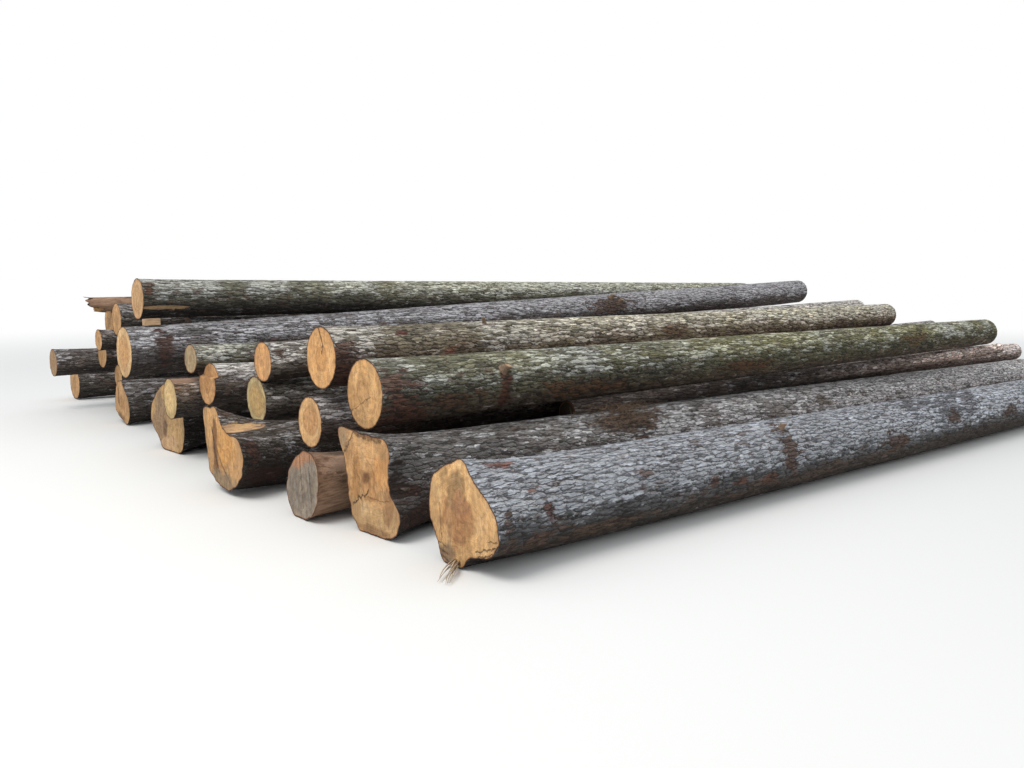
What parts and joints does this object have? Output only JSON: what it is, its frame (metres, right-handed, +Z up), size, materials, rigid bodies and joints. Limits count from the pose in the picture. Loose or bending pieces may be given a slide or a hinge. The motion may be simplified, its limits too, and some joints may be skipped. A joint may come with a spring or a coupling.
{
  "type": "stack of logs",
  "caption": "Roadside stack of long felled conifer logs lying side by side in layers, with rough bark and freshly sawn butt ends.",
  "frame": {"origin": "middle of the stack's footprint, on the ground", "axes": "+X along the logs from the sawn butts to the tips, +Y across the stack from the front log to the back, +Z up"},
  "size_m": [12.1, 9.4168, 1.5694],
  "materials": {
    "brown_grey_bark": "rough bark",
    "weathered_wood": "raw wood",
    "pale_grey_bark": "rough bark",
    "mossy_bark": "rough bark",
    "peeled_wood": "raw wood",
    "grey_brown_bark": "rough bark",
    "split_wood": "raw wood"
  },
  "bodies": {
    "root": {"back_butt_log": "brown_grey_bark", "broken_log": "weathered_wood", "cracked_log": "brown_grey_bark", "front_log": "pale_grey_bark", "half_hidden_log": "brown_grey_bark", "knot_log": "brown_grey_bark", "left_big_log": "brown_grey_bark", "left_ground_log": "brown_grey_bark", "long_upper_log": "brown_grey_bark", "mossy_log": "mossy_bark", "peeled_log": "peeled_wood", "pink_log": "brown_grey_bark", "ring_log": "brown_grey_bark", "second_log": "grey_brown_bark", "small_dark_log": "brown_grey_bark", "split_butt_log": "brown_grey_bark", "stepped_log": "brown_grey_bark", "strip_log": "brown_grey_bark", "stub_log": "brown_grey_bark", "thin_dark_log": "brown_grey_bark", "thin_upper_log_1": "brown_grey_bark", "thin_upper_log_2": "brown_grey_bark", "top_log": "brown_grey_bark", "twisted_butt_log": "brown_grey_bark", "under_log_1": "brown_grey_bark", "under_log_10": "brown_grey_bark", "under_log_11": "brown_grey_bark", "under_log_12": "brown_grey_bark", "under_log_13": "brown_grey_bark", "under_log_14": "brown_grey_bark", "under_log_15": "brown_grey_bark", "under_log_16": "brown_grey_bark", "under_log_2": "brown_grey_bark", "under_log_3": "brown_grey_bark", "under_log_4": "brown_grey_bark", "under_log_5": "brown_grey_bark", "under_log_6": "brown_grey_bark", "under_log_7": "brown_grey_bark", "under_log_8": "brown_grey_bark", "under_log_9": "brown_grey_bark", "wedge_block": "split_wood"}
  },
  "joints": []
}
